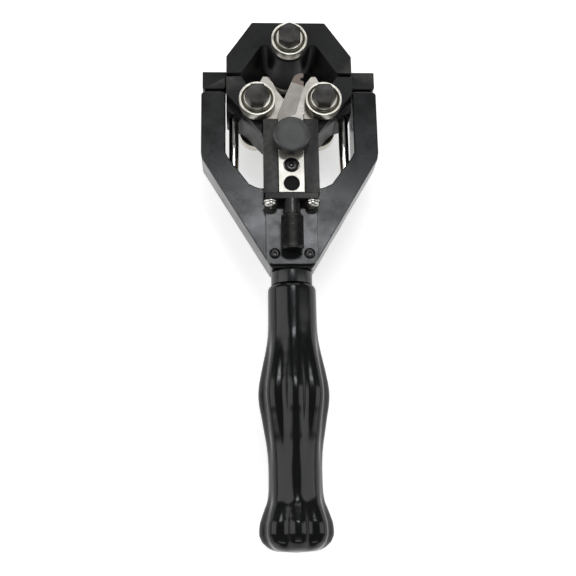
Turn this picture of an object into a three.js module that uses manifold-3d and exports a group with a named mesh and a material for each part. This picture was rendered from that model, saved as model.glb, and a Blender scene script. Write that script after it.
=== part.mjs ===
// Rotary cable stripper: a black forked tool with three twin ball-bearing roller stations,
// a screw-driven lower jaw on two guide rods, a depth-set blade and a fluted twist handle.
// Millimetres. X is across the head, +Y runs from the handle to the head, +Z is the front
// face with the bolt heads. Inside the groups y = 0 is the front end of the grip and z = 0
// is the middle of the tool's thickness; the root group moves that to the part's origin,
// which is under the middle of the tool, level with the back ends of the axle bolts.

import * as THREE from 'three';
import { mergeVertices } from 'three/addons/utils/BufferGeometryUtils.js';
import Module from 'manifold-3d';

// ---------------------------------------------------------------- driving dimensions
const GRIP_END_Y = -152.6;
const HEAD_TOP_Y = 166.8;
const BOLT_BACK_Z = -35.2;
const GAP = 0.15;

const JAW_HALF_DEPTH = 18;
const YOKE_HALF_DEPTH = 11;
const AXLE_UP_Y = 150.8;
const AXLE_LOW_X = 20;
const AXLE_LOW_Y = 110.7;
const BOSS_R = 11.3;

const YOKE_OUT_X = 54.2;
const YOKE_IN_X = 39.4;
const ARM_TOP_Y = 122.9;
const ARM_BEND_OUT_Y = 80.8;
const ARM_BEND_IN_Y = 83;
const HUB_LOW_X = 12.5;
const HUB_LOW_Y = 9.5;
const HUB_TOP_X = 22.7;
const HUB_TOP_Y = 59.5;

const EAR_OUT_X = 53.4;
const EAR_LOW_Y = 124.9;
const EAR_TOP_Y = 136.4;
const EAR_BOLT_X = 46.6;

const ROD_X = 34.2;
const ROD_R = 3;
const ROD_FIT_R = 3.07;
const ROD_LOW_Y = 66;
const ROD_TOP_Y = 142;

const LOW_JAW_X = 38.7;
const LOW_JAW_TOP_Y = 129.8;
const NOTCH_LOW_Y = 107;

const SCREW_R = 6;
const SCREW_FIT_R = 6.1;
const SCREW_TOP_Y = 88;
const NUT_R = 8.5;
const NUT_LOW_Y = 80;
const NUT_TOP_Y = 97;
const JOURNAL_R = 8;
const JOURNAL_FIT_R = 8.1;

const BEARING_R = 11;
const BEARING_WIDTH = 7;
const BEARING_Z = 20;
const RACE_R = 6;
const RACE_BORE_R = 4.1;
const AXLE_R = 3.95;
const AXLE_HOLE_R = 4.2;
const HEX_R = 7.5;
const WASHER_R = 7.9;
const WASHER_HEIGHT = 1;

const BAR_HALF_X = 7.6;
const BAR_LOW_Y = 52;
const BAR_TOP_Y = 103;
const BAR_Z = [17.4, 23.4];
const BLADE_Z = [23.55, 25.75];
const CHANNEL_HALF_X = 16.6;
const CHANNEL_Z = [14.2, 22.4];
const CHANNEL_Y = [52, 99.6];
const END_PLATE_Y = [48.2, 51.8];
const END_SCREW_X = 12.4;
const KNOB_Y = 85.2;
const KNOB_R = 10.9;
const DEPTH_AXIS_Z = 20.4;
const PLATE_Z = [18.1, 19.3];

const COVER_HALF_X = 15.4;
const COVER_Y = [10.9, 57];
const COVER_Z = [11.15, 13.4];
const COVER_SCREW = [10.3, 17.4];

const NECK_R = 12.3;
const TANG_R = 7;
const TANG_LOW_Y = -95;
const FLUTES = 8;

// [y, outside radius, flute depth] from the front of the grip to its end
const GRIP_STATIONS = [
  [0.5, 13.1, 0], [-2.2, 14.3, 0], [-12, 14.45, 0], [-24, 14.55, 0], [-30, 14.95, 0.15],
  [-38, 16.1, 0.7], [-46, 17.8, 1.5], [-54, 19.4, 2.1], [-60, 20.4, 2.3], [-65, 20.7, 2.4],
  [-70, 20.35, 2.3], [-78, 19.0, 1.9], [-87, 17.5, 1.4], [-95, 16.2, 0.9],
  [-102, 15.6, 0.5], [-111, 15.4, 0.3], [-119, 15.5, 0.4], [-124, 16.1, 0.7],
  [-129, 17.8, 1.3], [-134, 19.6, 1.9], [-138.5, 20.8, 2.2], [-142, 21, 2.2],
  [-145.5, 20.2, 2.0], [-149, 17.6, 1.4], [-151.6, 13.6, 0.7], [GRIP_END_Y, 8, 0.1],
];

const ROUND = 24;
const ROUND_FINE = 36;

// ---------------------------------------------------------------- solid helpers
const wasm = await Module();
wasm.setup();

// A closed geometry as a manifold solid
function solid(geometry) {
  const bare = geometry.clone();
  bare.deleteAttribute('normal');
  bare.deleteAttribute('uv');
  const merged = mergeVertices(bare, 1e-4);
  return new wasm.Manifold(new wasm.Mesh({
    numProp: 3,
    vertProperties: new Float32Array(merged.attributes.position.array),
    triVerts: new Uint32Array(merged.index.array),
  }));
}

// A manifold solid back as a geometry with normals
function geometryOf(manifold) {
  const mesh = manifold.getMesh();
  const geometry = new THREE.BufferGeometry();
  geometry.setAttribute('position', new THREE.BufferAttribute(mesh.vertProperties, 3));
  geometry.setIndex(new THREE.BufferAttribute(mesh.triVerts, 1));
  geometry.computeVertexNormals();
  return geometry;
}

// The first geometry with the others cut away
function cut(base, ...tools) {
  let result = solid(base);
  for (const tool of tools) result = result.subtract(solid(tool));
  return geometryOf(result);
}

// All the geometries joined into one
function join(...parts) {
  let result = solid(parts[0]);
  for (const part of parts.slice(1)) result = result.add(solid(part));
  return geometryOf(result);
}

// A flat outline of [x, y] points, extruded from z0 to z1
function prism(points, z0, z1, holes = []) {
  const shape = new THREE.Shape(points.map(([x, y]) => new THREE.Vector2(x, y)));
  shape.holes = holes.map((hole) => new THREE.Path(hole.map(([x, y]) => new THREE.Vector2(x, y))));
  const geometry = new THREE.ExtrudeGeometry(shape, { depth: z1 - z0, bevelEnabled: false });
  return geometry.translate(0, 0, z0);
}

// The right half of an outline from bottom to top, mirrored to the left
function mirrored(right) {
  const left = right.map(([x, y]) => [-x, y]).reverse();
  return [...right, ...left.filter(([x]) => Math.abs(x) > 1e-9)];
}

// Points of an arc, angles in degrees
function arc(cx, cy, r, from, to, steps) {
  return Array.from({ length: steps + 1 }, (_, i) => {
    const a = THREE.MathUtils.degToRad(from + ((to - from) * i) / steps);
    return [cx + r * Math.cos(a), cy + r * Math.sin(a)];
  });
}

// A turned piece about Y from [radius, y] points that close on themselves or on the axis
function turned(points, segments = ROUND) {
  return new THREE.LatheGeometry(points.map(([r, y]) => new THREE.Vector2(r, y)), segments);
}

// A plain round bar about Y at (x, z)
function barY(r, y0, y1, x = 0, z = 0, segments = ROUND) {
  return turned([[0, y0], [r, y0], [r, y1], [0, y1]], segments).translate(x, 0, z);
}

// A plain round bar about Z at (x, y)
function barZ(r, z0, z1, x = 0, y = 0, segments = ROUND) {
  return turned([[0, z0], [r, z0], [r, z1], [0, z1]], segments).rotateX(Math.PI / 2).translate(x, y, 0);
}

// A ring about Z between two radii
function ringZ(rIn, rOut, z0, z1, segments = ROUND) {
  const profile = [[rIn, z0], [rOut, z0], [rOut, z1], [rIn, z1], [rIn, z0]];
  return turned(profile, segments).rotateX(Math.PI / 2);
}

function box(x0, x1, y0, y1, z0, z1) {
  const geometry = new THREE.BoxGeometry(x1 - x0, y1 - y0, z1 - z0);
  return geometry.translate((x0 + x1) / 2, (y0 + y1) / 2, (z0 + z1) / 2);
}

// ---------------------------------------------------------------- materials and naming
const FINISH = {
  blackCast: [0x2a2c2b, 0.42, 0.3],
  blackCover: [0x1d1f1e, 0.3, 0.3],
  blackGrip: [0x151616, 0.22, 0.0],
  steel: [0xb9b5ab, 0.28, 1.0],
  brightSteel: [0xd6d3cb, 0.16, 1.0],
  darkSteel: [0x54524f, 0.4, 0.9],
  knobSteel: [0x3a3a3a, 0.4, 0.8],
  bronze: [0x9a7440, 0.4, 0.9],
};

function piece(name, finish, geometry) {
  const [color, roughness, metalness] = FINISH[finish];
  const material = new THREE.MeshStandardMaterial({ color, roughness, metalness });
  const mesh = new THREE.Mesh(geometry, material);
  mesh.name = name;
  return mesh;
}

// ---------------------------------------------------------------- fixed frame
// The forked casting: two arms, two slanted legs and the hub between them
function yokeFrame() {
  const outline = mirrored([
    [0, HUB_LOW_Y], [HUB_LOW_X, HUB_LOW_Y], [YOKE_OUT_X - 0.7, ARM_BEND_OUT_Y - 2.4],
    [YOKE_OUT_X, ARM_BEND_OUT_Y + 2], [YOKE_OUT_X, ARM_TOP_Y - 1.2], [YOKE_OUT_X - 1.2, ARM_TOP_Y],
    [YOKE_IN_X, ARM_TOP_Y], [YOKE_IN_X, ARM_BEND_IN_Y], [37.6, 79.4],
    [25.2, 62.4], [HUB_TOP_X - 1.6, 60.3], [HUB_TOP_X - 4, HUB_TOP_Y], [0, HUB_TOP_Y],
  ]);
  const body = prism(outline, -YOKE_HALF_DEPTH, YOKE_HALF_DEPTH);
  const pads = [-1, 1].map((side) => box(
    side * EAR_BOLT_X - 5.6, side * EAR_BOLT_X + 5.6, ARM_TOP_Y - 1, EAR_LOW_Y - GAP, -9.4, 9.4,
  ));
  return cut(
    join(body, ...pads),
    barY(JOURNAL_FIT_R, 0, 70, 0, 0, ROUND_FINE),
    ...[-1, 1].flatMap((side) => [
      barY(ROD_R + GAP, ROD_LOW_Y - GAP, 110, side * ROD_X),
      barY(2.65, 106, 130, side * EAR_BOLT_X),
      barZ(1.65, 3.5, 20, side * COVER_SCREW[0], COVER_SCREW[1], 20),
    ]),
  );
}

// The cover plate on the front of the hub, with two counterbored holes
function hubCover() {
  const r = 5;
  const [low, top] = COVER_Y;
  const outline = mirrored([
    [0, low], ...arc(COVER_HALF_X - r, low + r, r, -90, 0, 6), [COVER_HALF_X, top], [0, top],
  ]);
  const holes = [-1, 1].flatMap((side) => [
    barZ(1.75, 0, 20, side * COVER_SCREW[0], COVER_SCREW[1], 20),
    barZ(3.1, 12.0, 20, side * COVER_SCREW[0], COVER_SCREW[1], 24),
  ]);
  return cut(prism(outline, ...COVER_Z), ...holes);
}

// A flat-topped socket screw about Z with its head top at z = 0
function socketScrewZ(headR, headH, shankR, length, hexR) {
  const body = turned([
    [0, -length], [shankR, -length], [shankR, -headH], [headR, -headH], [headR, -0.3],
    [headR - 0.3, 0], [0, 0],
  ], 24).rotateX(Math.PI / 2);
  return cut(body, barZ(hexR, -headH * 0.6, 1, 0, 0, 6));
}

// The fixed jaw: a chamfered block with a notch, a round boss and two side ears
function upperJaw() {
  const outline = mirrored([
    ...arc(0, AXLE_UP_Y, BOSS_R, -90, -16, 7),
    ...arc(14.8, 147.6, 3.6, 172, 24, 6),
    [29.5, 132.1], [38.6, 132.1], [38.6, 143.5], [22.7, HEAD_TOP_Y], [0, HEAD_TOP_Y],
  ]);
  const block = prism(outline, -JAW_HALF_DEPTH, JAW_HALF_DEPTH);
  const ear = (side) => prism([
    [side * 32, 132.6], [side * 39.3, 132.6], [side * 39.3, EAR_LOW_Y + 0.8],
    [side * 40, EAR_LOW_Y], [side * (EAR_OUT_X - 1), EAR_LOW_Y], [side * EAR_OUT_X, EAR_LOW_Y + 1],
    [side * EAR_OUT_X, EAR_TOP_Y], [side * 32, EAR_TOP_Y],
  ], -YOKE_HALF_DEPTH, YOKE_HALF_DEPTH);
  return cut(
    join(block, ear(-1), ear(1)),
    barZ(AXLE_HOLE_R, -30, 30, 0, AXLE_UP_Y, 28),
    ...[-1, 1].flatMap((side) => [
      barY(ROD_R + GAP, 120, ROD_TOP_Y + GAP, side * ROD_X),
      barY(2.65, 120, 140, side * EAR_BOLT_X),
      barY(4.6, EAR_TOP_Y - 5.2, 140, side * EAR_BOLT_X),
    ]),
  );
}

// ---------------------------------------------------------------- bearings and axles
// Outer ring with its two seals, z = 0 at the inner side
function bearingRing() {
  const w = BEARING_WIDTH;
  return turned([
    [6.35, 0.5], [9.3, 0.5], [9.3, 0], [10.6, 0], [BEARING_R, 0.4], [BEARING_R, w - 0.4],
    [10.6, w], [9.3, w], [9.3, w - 0.5], [6.35, w - 0.5], [6.35, 0.5],
  ], ROUND).rotateX(Math.PI / 2);
}

// Inner race, z = 0 at the inner side
function bearingRace() {
  return ringZ(RACE_BORE_R, RACE_R, 0, BEARING_WIDTH, 28);
}

// Long hexagon bolt about Z, head on the front side
function axleBolt() {
  const headLow = BEARING_Z + BEARING_WIDTH + 0.1 + WASHER_HEIGHT + GAP;
  const head = turned([
    [0, headLow], [HEX_R, headLow], [HEX_R, headLow + 4.8], [HEX_R - 1, headLow + 5.3],
    [0, headLow + 5.3],
  ], 6);
  const shank = turned([
    [0, BOLT_BACK_Z], [AXLE_R - 0.8, BOLT_BACK_Z], [AXLE_R, BOLT_BACK_Z + 0.8],
    [AXLE_R, headLow + 1], [0, headLow + 1],
  ], 28);
  return join(head.rotateX(Math.PI / 2), shank.rotateX(Math.PI / 2));
}

// Hexagon nut about Z, on the back side
function axleNut() {
  const top = -(BEARING_Z + BEARING_WIDTH + GAP);
  const body = turned([
    [0, top - 6.5], [HEX_R - 1, top - 6.5], [HEX_R, top - 6], [HEX_R, top], [0, top],
  ], 6).rotateX(Math.PI / 2);
  return cut(body, barZ(AXLE_R + GAP, -40, -20, 0, 0, 28));
}

// One roller station: bolt, nut, washer, spacers and inner races, standing at the group's x and y
function axleSet(prefix, frontSpacerZ, hexTurn) {
  const set = new THREE.Group();
  const backSpacer = ringZ(RACE_BORE_R, 6, -BEARING_Z + 0.1, -JAW_HALF_DEPTH - 0.1, 24);
  const frontSpacer = ringZ(RACE_BORE_R, 6, frontSpacerZ, BEARING_Z - 0.1, 24);
  const washerLow = BEARING_Z + BEARING_WIDTH + 0.1;
  const headWasher = ringZ(RACE_BORE_R, WASHER_R, washerLow, washerLow + WASHER_HEIGHT, 36);
  const backRace = piece(`${prefix}_back_inner_race`, 'brightSteel', bearingRace());
  const frontRace = piece(`${prefix}_front_inner_race`, 'brightSteel', bearingRace());
  frontRace.position.z = BEARING_Z;
  backRace.position.z = -BEARING_Z;
  backRace.rotation.x = Math.PI;
  const bolt = piece(`${prefix}_axle_bolt`, 'darkSteel', axleBolt());
  const nut = piece(`${prefix}_axle_nut`, 'darkSteel', axleNut());
  bolt.rotation.z = hexTurn;
  nut.rotation.z = hexTurn;
  set.add(
    bolt, nut, frontRace, backRace,
    piece(`${prefix}_washer`, 'brightSteel', headWasher),
    piece(`${prefix}_front_spacer`, 'steel', frontSpacer),
    piece(`${prefix}_back_spacer`, 'steel', backSpacer),
  );
  return set;
}

// The two spinning outer rings of one roller station
function rollerPair(prefix) {
  const pair = new THREE.Group();
  const front = piece(`${prefix}_front_roller`, 'brightSteel', bearingRing());
  const back = piece(`${prefix}_back_roller`, 'brightSteel', bearingRing());
  front.position.z = BEARING_Z;
  back.position.z = -BEARING_Z;
  back.rotation.x = Math.PI;
  pair.add(front, back);
  return pair;
}

// ---------------------------------------------------------------- lower jaw carriage
// Inner edge of the lower jaw from the notch to the top corner, right half
function lowerNotch() {
  return [
    [0, NOTCH_LOW_Y], [8.3, NOTCH_LOW_Y],
    ...arc(AXLE_LOW_X, AXLE_LOW_Y, BOSS_R, 192, 70, 10), [29.2, LOW_JAW_TOP_Y],
  ];
}

// The moving jaw: a thin front plate on a deeper block, bored for rods, axles and nut
function lowerJaw() {
  const top = lowerNotch();
  const front = mirrored([...top, [LOW_JAW_X, LOW_JAW_TOP_Y], [LOW_JAW_X, 118.6], [14.6, 88.8], [0, 88.8]]);
  const back = mirrored([
    ...top, [LOW_JAW_X, LOW_JAW_TOP_Y], [LOW_JAW_X, 110.6], [36.6, 109.4], [28.6, 106.6],
    [25, 103], [16, 93.2], [12.5, 91.4], [0, 91.4],
  ]);
  const block = join(prism(front, 8, JAW_HALF_DEPTH), prism(back, -JAW_HALF_DEPTH, 8.5));
  return cut(
    block,
    box(-CHANNEL_HALF_X - 0.3, CHANNEL_HALF_X + 0.3, 80, CHANNEL_Y[1] + 0.3, CHANNEL_Z[0] - 0.2, 30),
    barY(NUT_R + GAP, 80, NUT_TOP_Y + GAP, 0, 0, ROUND_FINE),
    barY(SCREW_FIT_R + 0.5, 80, 103.6),
    ...[-1, 1].flatMap((side) => [
      barZ(AXLE_HOLE_R, -30, 30, side * AXLE_LOW_X, AXLE_LOW_Y, 28),
      barY(ROD_FIT_R, 80, 140, side * ROD_X),
    ]),
  );
}

// The V-shaped guide plate under the front rollers, with a horn each side of the cable
function guidePlate() {
  const outline = mirrored([
    [0, 111.8], [4.2, 114.6], [7.9, 119.9], [10.3, 125], [13.4, 128.9], [16.2, 128.9],
    [18.4, 124.6], [24.4, 119.6], ...arc(AXLE_LOW_X, AXLE_LOW_Y, 9.4, 45, -90, 9),
    [12, 100.6], [0, 100.6],
  ]);
  return cut(
    prism(outline, ...PLATE_Z),
    barZ(AXLE_HOLE_R, 0, 30, -AXLE_LOW_X, AXLE_LOW_Y, 28),
    barZ(AXLE_HOLE_R, 0, 30, AXLE_LOW_X, AXLE_LOW_Y, 28),
  );
}

// The U channel that the blade bar slides in
function bladeChannel() {
  const [y0, y1] = CHANNEL_Y;
  const [z0, z1] = CHANNEL_Z;
  const inner = BAR_HALF_X + 0.3;
  return cut(
    box(-CHANNEL_HALF_X, CHANNEL_HALF_X, y0, y1, z0, z1),
    box(-inner, inner, y0 - 1, y1 + 1, BAR_Z[0] - 0.2, z1 + 1),
    ...[-1, 1].map((side) => barY(2.15, 40, 62, side * END_SCREW_X, 18.3, 20)),
  );
}

// The plate that closes the channel, with two screw holes and the depth screw's hole
function endPlate() {
  const [y0, y1] = END_PLATE_Y;
  const body = box(-15.6, 15.6, y0, y1, CHANNEL_Z[0], 23.4);
  return cut(
    body,
    barY(2.6, 40, 60, 0, DEPTH_AXIS_Z, 24),
    ...[-1, 1].map((side) => barY(2.15, 40, 60, side * END_SCREW_X, 18.3, 20)),
  );
}

// Pan-head screw along +Y, head top at y = 0
function panScrew() {
  return turned([
    [0, 0], [2.4, 0], [3.6, 0.8], [4, 2], [4, 3], [2, 3], [2, 16.5], [0, 16.5],
  ], 24);
}

function washer() {
  return turned([[2.2, 0], [4.5, 0], [4.5, 1], [2.2, 1], [2.2, 0]], 24);
}

// Flanged nut that carries the lead screw
function leadNut() {
  return turned([
    [SCREW_FIT_R, NUT_LOW_Y], [NUT_R - 0.8, NUT_LOW_Y], [NUT_R, NUT_LOW_Y + 0.8], [NUT_R, 84.6],
    [11, 84.6], [11, 88.5], [NUT_R, 88.5], [NUT_R, NUT_TOP_Y], [SCREW_FIT_R, NUT_TOP_Y],
    [SCREW_FIT_R, NUT_LOW_Y],
  ], ROUND_FINE);
}

// ---------------------------------------------------------------- blade, knobs
// The bar that holds the blade, with a long thread hole and two round pockets
function bladeBar() {
  const [z0, z1] = BAR_Z;
  return cut(
    box(-BAR_HALF_X, BAR_HALF_X, BAR_LOW_Y + 0.1, BAR_TOP_Y, z0, z1),
    box(-10, 10, 93.4, 110, z0 - 1, PLATE_Z[1] + 0.3),
    barY(2.15, 40, 62.9, 0, DEPTH_AXIS_Z, 24),
    barZ(4.7, z1 - 2.8, 30, 0, 57.7, 28),
    barZ(4.7, z1 - 2.8, 30, 0, 69.5, 28),
    barZ(2.1, 0, 30, 0, 69.5, 20),
    barZ(2.6, 0, 30, 0, KNOB_Y, 24),
  );
}

// The cutter: a flat blade with a slanted edge and a hooked tip
function cutterBlade() {
  const outline = [
    [-7.4, 79], [7.4, 79], [7.4, 100], [8.3, 101.6], [8.3, 123], [7.1, 123.4], [7.1, 125.4],
    [8.3, 125.8], [8.3, 128.9], [5.3, 128.9], [2.4, 127], [0.7, 122.8], [-7.4, 102.9],
  ];
  return cut(prism(outline, ...BLADE_Z), barZ(2.7, 0, 30, 0, KNOB_Y, 24));
}

// Round clamp knob on its stud, turning about Z
function clampKnob() {
  return turned([
    [0, 17.9], [2.45, 17.9], [2.45, 26], [5, 26], [KNOB_R - 0.8, 26.6], [KNOB_R, 27.4],
    [KNOB_R, 32.4], [KNOB_R - 1, 33.4], [0, 33.4],
  ], 40).rotateX(Math.PI / 2);
}

// Knurled depth knob with its neck
function depthKnob() {
  return turned([
    [0, 17.5], [5.2, 17.5], [6.65, 18.8], [6.65, 37.6], [5.6, 38.7], [5, 38.7], [5, 47.9],
    [0, 47.9],
  ], 36);
}

// Threaded stem of the depth knob
function depthScrew() {
  return turned([[0, 48], [2, 48], [2, 61], [1.5, 61.6], [0, 61.6]], 24);
}

// ---------------------------------------------------------------- handle
// A closed skin lofted through the grip's fluted sections
function gripSkin() {
  const perFlute = 5;
  const around = FLUTES * perFlute;
  const points = [];
  for (const [y, radius, depth] of GRIP_STATIONS) {
    for (let i = 0; i < around; i += 1) {
      const a = (2 * Math.PI * (i + 0.5)) / around;
      const wave = 0.5 - 0.5 * Math.cos(a * FLUTES);
      const r = radius - depth * wave ** 1.5;
      points.push(r * Math.sin(a), y, r * Math.cos(a));
    }
  }
  const rows = GRIP_STATIONS.length;
  const first = points.length / 3;
  points.push(0, GRIP_STATIONS[0][0], 0, 0, GRIP_STATIONS[rows - 1][0], 0);
  const faces = [];
  for (let i = 0; i < around; i += 1) {
    const j = (i + 1) % around;
    for (let row = 0; row < rows - 1; row += 1) {
      const a = row * around;
      const b = a + around;
      faces.push(a + i, b + i, b + j, a + i, b + j, a + j);
    }
    const last = (rows - 1) * around;
    faces.push(first, i, j, first + 1, last + j, last + i);
  }
  const geometry = new THREE.BufferGeometry();
  geometry.setAttribute('position', new THREE.Float32BufferAttribute(points, 3));
  geometry.setIndex(faces);
  return geometry;
}

// The moulded grip with a blind hole for the tang
function grip() {
  return cut(gripSkin(), barY(TANG_R + 0.2, TANG_LOW_Y - 0.3, 5, 0, 0, 28));
}

// Round neck between the hub and the grip, with the tang that the grip is moulded on
function neckSleeve() {
  return turned([
    [0, TANG_LOW_Y], [TANG_R - 1, TANG_LOW_Y], [TANG_R, TANG_LOW_Y + 1], [TANG_R, 0.8],
    [NECK_R, 0.8], [NECK_R, 8.4], [NECK_R - 0.8, HUB_LOW_Y - 0.3], [0, HUB_LOW_Y - 0.3],
  ], 40);
}

// Journal and lead screw in one piece
function leadScrew() {
  return turned([
    [0, HUB_LOW_Y - 0.15], [JOURNAL_R, HUB_LOW_Y - 0.15], [JOURNAL_R, 59.8], [SCREW_R, 59.8],
    [SCREW_R, SCREW_TOP_Y - 1], [SCREW_R - 1, SCREW_TOP_Y], [0, SCREW_TOP_Y],
  ], ROUND_FINE);
}

// Collar that keeps the screw in the hub
function lockCollar() {
  return turned([
    [SCREW_FIT_R, 60], [9.6, 60], [10, 60.4], [10, 62.8], [9.6, 63.2], [SCREW_FIT_R, 63.2],
    [SCREW_FIT_R, 60],
  ], ROUND_FINE);
}

// ---------------------------------------------------------------- assembly
const frame = new THREE.Group();
frame.add(
  piece('yoke_frame', 'blackCast', yokeFrame()),
  piece('hub_cover', 'blackCover', hubCover()),
  piece('upper_jaw', 'blackCast', upperJaw()),
);
for (const [side, word] of [[-1, 'left'], [1, 'right']]) {
  const coverScrew = piece(`cover_screw_${word}`, 'darkSteel', socketScrewZ(2.8, 1.2, 1.5, 9.2, 1.3));
  coverScrew.position.set(side * COVER_SCREW[0], COVER_SCREW[1], COVER_Z[1] - 0.05);
  const earScrew = piece(`ear_screw_${word}`, 'darkSteel', socketScrewZ(4.25, 5, 2.5, 29, 2.3));
  earScrew.rotation.x = -Math.PI / 2;
  earScrew.position.set(side * EAR_BOLT_X, EAR_TOP_Y, 0);
  const rod = piece(`guide_rod_${word}`, 'brightSteel', barY(ROD_R, ROD_LOW_Y, ROD_TOP_Y, 0, 0, ROUND));
  rod.position.x = side * ROD_X;
  frame.add(coverScrew, earScrew, rod);
}
const upperAxle = axleSet('upper', JAW_HALF_DEPTH + 0.1, 0);
upperAxle.position.set(0, AXLE_UP_Y, 0);
const upperRollers = rollerPair('upper');
upperRollers.position.copy(upperAxle.position);
frame.add(upperAxle, upperRollers);

const carriage = new THREE.Group();
carriage.add(
  piece('lower_jaw', 'blackCast', lowerJaw()),
  piece('guide_plate', 'steel', guidePlate()),
  piece('blade_channel', 'blackCast', bladeChannel()),
  piece('end_plate', 'blackCast', endPlate()),
  piece('lead_nut', 'bronze', leadNut()),
);
for (const [side, word] of [[-1, 'left'], [1, 'right']]) {
  const axle = axleSet(`lower_${word}`, PLATE_Z[1] + 0.1, Math.PI / 6);
  axle.position.set(side * AXLE_LOW_X, AXLE_LOW_Y, 0);
  const rollers = rollerPair(`lower_${word}`);
  rollers.position.copy(axle.position);
  const screw = piece(`end_plate_screw_${word}`, 'brightSteel', panScrew());
  screw.position.set(side * END_SCREW_X, END_PLATE_Y[0] - 4.25, 18.3);
  const ring = piece(`end_plate_washer_${word}`, 'steel', washer());
  ring.position.set(side * END_SCREW_X, END_PLATE_Y[0] - 1.1, 18.3);
  carriage.add(axle, rollers, screw, ring);
}

const blade = new THREE.Group();
const barScrew = piece('bar_screw', 'darkSteel', socketScrewZ(4.2, 2.4, 2, 5.4, 1.7));
barScrew.position.set(0, 69.5, BAR_Z[1] - 0.3);
const knob = piece('clamp_knob', 'knobSteel', clampKnob());
knob.position.y = KNOB_Y;
blade.add(
  piece('blade_bar', 'steel', bladeBar()),
  piece('cutter_blade', 'steel', cutterBlade()),
  barScrew, knob,
);
const depthSetter = new THREE.Group();
depthSetter.position.z = DEPTH_AXIS_Z;
depthSetter.add(
  piece('depth_knob', 'knobSteel', depthKnob()),
  piece('depth_screw', 'steel', depthScrew()),
);
carriage.add(blade, depthSetter);

const handle = new THREE.Group();
handle.add(
  piece('grip', 'blackGrip', grip()),
  piece('neck_sleeve', 'blackCast', neckSleeve()),
  piece('lead_screw', 'steel', leadScrew()),
  piece('lock_collar', 'darkSteel', lockCollar()),
);

const tool = new THREE.Group();
tool.position.set(0, -(GRIP_END_Y + HEAD_TOP_Y) / 2, -BOLT_BACK_Z);
tool.add(frame, carriage, handle);

export default tool;
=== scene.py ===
# %% [markdown]
# # A rotary cable stripper
# The tool is a black fork with three pairs of ball-bearing rollers. The two lower pairs ride
# on a jaw that a screw in the twist handle moves, and a blade with a knurled depth knob
# reaches in between them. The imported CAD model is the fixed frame: every piece made here
# goes where a CAD node is, and moves with that node's body.

# %% Load the fixed frame
import math

import bmesh
import bpy
from mathutils import Matrix, Vector


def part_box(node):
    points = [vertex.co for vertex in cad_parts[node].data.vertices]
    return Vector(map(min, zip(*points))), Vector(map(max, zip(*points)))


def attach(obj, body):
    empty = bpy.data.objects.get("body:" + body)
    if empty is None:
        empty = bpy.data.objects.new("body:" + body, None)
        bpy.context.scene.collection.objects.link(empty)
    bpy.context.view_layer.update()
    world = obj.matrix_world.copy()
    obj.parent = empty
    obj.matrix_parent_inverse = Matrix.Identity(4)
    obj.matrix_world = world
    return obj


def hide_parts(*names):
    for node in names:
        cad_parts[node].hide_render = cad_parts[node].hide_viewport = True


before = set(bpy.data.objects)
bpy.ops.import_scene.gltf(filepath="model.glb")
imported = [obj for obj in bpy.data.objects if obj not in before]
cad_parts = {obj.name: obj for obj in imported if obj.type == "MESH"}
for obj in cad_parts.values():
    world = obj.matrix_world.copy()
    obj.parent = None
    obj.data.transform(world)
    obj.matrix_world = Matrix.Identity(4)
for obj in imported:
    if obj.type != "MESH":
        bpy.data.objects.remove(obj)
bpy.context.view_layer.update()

MM = 0.001


# %% [markdown]
# ## Measuring the frame
# Positions come from the CAD nodes, so nothing is placed by eye. `middle` and `low_high`
# give a node's centre and corners in metres.

# %% Centres and corners of CAD nodes
def middle(node):
    low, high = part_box(node)
    return (low + high) / 2


def low_high(node, axis):
    low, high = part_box(node)
    return low[axis], high[axis]


TOOL_Z = middle("grip").z
print("the tool's mid-plane is", round(TOOL_Z / MM, 2), "mm above the floor")


# %% [markdown]
# ## Small tools for node trees
# A colour is written as the sRGB hex value a painter would pick, and Blender's shaders want
# linear light, so one function converts it. One more function adds a node of any kind with
# its settings and its inputs, which may be numbers or links.

# %% Colour and node helpers
def linear(hex_colour):
    parts = [int(hex_colour[i:i + 2], 16) / 255 for i in (1, 3, 5)]
    return tuple(c / 12.92 if c <= 0.04045 else ((c + 0.055) / 1.055) ** 2.4 for c in parts) + (1.0,)


def add(tree, kind, inputs=None, **settings):
    node = tree.nodes.new(kind)
    for key, value in settings.items():
        setattr(node, key, value)
    for key, value in (inputs or {}).items():
        if isinstance(value, bpy.types.NodeSocket):
            tree.links.new(value, node.inputs[key])
        else:
            node.inputs[key].default_value = value
    return node


def new_finish(name):
    finish = bpy.data.materials.new(name)
    finish.use_nodes = True
    tree = finish.node_tree
    tree.nodes.clear()
    shader = add(tree, "ShaderNodeBsdfPrincipled")
    add(tree, "ShaderNodeOutputMaterial", {"Surface": shader.outputs[0]})
    return finish, tree, shader


# %% [markdown]
# ## Coated castings
# The fork and the jaws are aluminium castings with a baked black coating. Such a coating is
# a dielectric over metal: nearly black, satin, with a faint orange peel about half a
# millimetre across, and slightly cloudy where it is thicker. Its edges are painted a lighter
# grey, partly as wear where they get handled and partly as a painted highlight. Noise in
# Object coordinates gives all three, and Pointiness finds the edges.

# %% Black coating
EDGE_WEAR_AND_HIGHLIGHT = 0.5


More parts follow.
